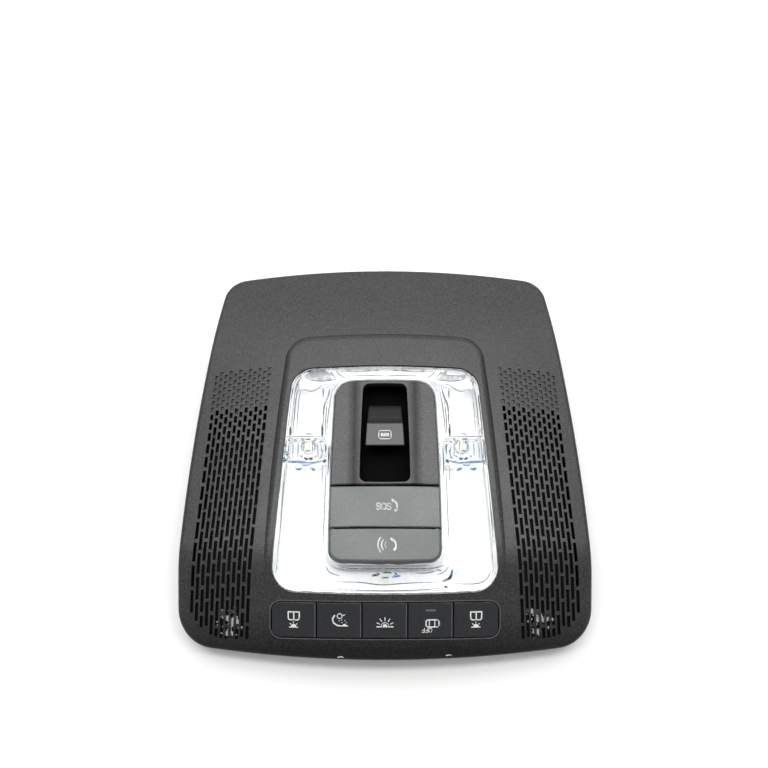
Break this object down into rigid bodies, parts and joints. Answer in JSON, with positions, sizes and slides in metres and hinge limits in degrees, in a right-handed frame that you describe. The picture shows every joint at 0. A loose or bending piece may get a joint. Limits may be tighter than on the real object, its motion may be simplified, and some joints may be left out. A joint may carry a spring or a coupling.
{
  "type": "car interior light",
  "caption": "Overhead car interior light: ring lens round a roof switch, call flap and button, row of light keys, slotted grilles and a rear housing.",
  "frame": {"origin": "under the middle of the part, on the back face of the rear housing", "axes": "+Z out of the cabin face, +Y to the edge without keys, +X to the right with the keys near"},
  "size_m": [0.217, 0.217, 0.0408],
  "materials": {
    "panel": "fine moulded grain",
    "lens": "clear polished acrylic",
    "reflector": "white",
    "optic": "clear polished acrylic",
    "light_chip": "yellow phosphor",
    "bezel": "satin",
    "knob": "satin",
    "flap": "satin",
    "call_button": "satin",
    "wide_button": "satin",
    "keys": "satin",
    "indicator": "smoked light window",
    "inner_plastic": "plain moulded",
    "steel": "zinc plated",
    "pins": "tinned",
    "rubber": "matte",
    "board": "solder mask",
    "chips": "moulded",
    "microphone": "pressed can"
  },
  "bodies": {
    "console": {"front_panel": "panel", "lens": "lens", "reflector_tray": "reflector", "reading_optic_left": "optic", "reading_optic_right": "optic", "reading_led_left": "light_chip", "reading_led_right": "light_chip", "cabin_leds": "light_chip", "switch_bezel": "bezel", "roof_switch_housing": "inner_plastic", "call_frame": "inner_plastic", "button_guide": "inner_plastic", "rear_housing": "inner_plastic", "harness_socket": "inner_plastic", "board_link": "inner_plastic", "sos_flap_pins": "steel", "housing_screws": "steel", "retaining_clips": "steel", "socket_pins": "pins", "keypad_mat": "rubber", "microphone_boot_left": "rubber", "microphone_boot_right": "rubber", "light_board": "board", "call_board": "board", "row_board": "board", "control_board": "board", "call_switches": "chips", "board_chips": "chips", "microphone_left": "microphone", "microphone_right": "microphone"},
    "roof_switch_cradle": {"roof_switch_cradle": "inner_plastic", "roof_switch_pin": "steel"},
    "roof_switch_knob": {"roof_switch_knob": "knob"},
    "sos_flap": {"sos_flap": "flap"},
    "sos_button": {"sos_button": "call_button"},
    "info_button": {"info_button": "wide_button"},
    "reading_button_left": {"reading_button_left": "keys"},
    "rear_light_button": {"rear_light_button": "keys"},
    "cabin_light_button": {"cabin_light_button": "keys"},
    "auto_off_button": {"auto_off_button": "keys", "auto_off_indicator": "indicator"},
    "reading_button_right": {"reading_button_right": "keys"}
  },
  "joints": [
    {"name": "roof_switch_press", "type": "slide", "parent": "console", "child": "roof_switch_cradle", "axis": [0, 0, -1], "range_m": [0, 0.0012], "stiffness_N_per_m": 2500},
    {"name": "roof_switch_rock", "type": "hinge", "parent": "roof_switch_cradle", "child": "roof_switch_knob", "pos_m": [0, 0.01097, 0.0215], "axis": [1, 0, 0], "range_deg": [-7, 7], "stiffness_Nm_per_rad": 0.3},
    {"name": "sos_flap_hinge", "type": "hinge", "parent": "console", "child": "sos_flap", "pos_m": [0, -0.02393, 0.0383], "axis": [-1, 0, 0], "range_deg": [0, 75]},
    {"name": "sos_button_press", "type": "slide", "parent": "console", "child": "sos_button", "axis": [0, 0, -1], "range_m": [0, 0.0008], "stiffness_N_per_m": 1500},
    {"name": "info_button_press", "type": "slide", "parent": "console", "child": "info_button", "axis": [0, 0, -1], "range_m": [0, 0.001], "stiffness_N_per_m": 1500},
    {"name": "reading_button_left_press", "type": "slide", "parent": "console", "child": "reading_button_left", "axis": [0, 0.3746, -0.9272], "range_m": [0, 0.0011], "stiffness_N_per_m": 1500},
    {"name": "rear_light_button_press", "type": "slide", "parent": "console", "child": "rear_light_button", "axis": [0, 0.3746, -0.9272], "range_m": [0, 0.0011], "stiffness_N_per_m": 1500},
    {"name": "cabin_light_button_press", "type": "slide", "parent": "console", "child": "cabin_light_button", "axis": [0, 0.3746, -0.9272], "range_m": [0, 0.0011], "stiffness_N_per_m": 1500},
    {"name": "auto_off_button_press", "type": "slide", "parent": "console", "child": "auto_off_button", "axis": [0, 0.3746, -0.9272], "range_m": [0, 0.0011], "stiffness_N_per_m": 1500},
    {"name": "reading_button_right_press", "type": "slide", "parent": "console", "child": "reading_button_right", "axis": [0, 0.3746, -0.9272], "range_m": [0, 0.0011], "stiffness_N_per_m": 1500}
  ]
}
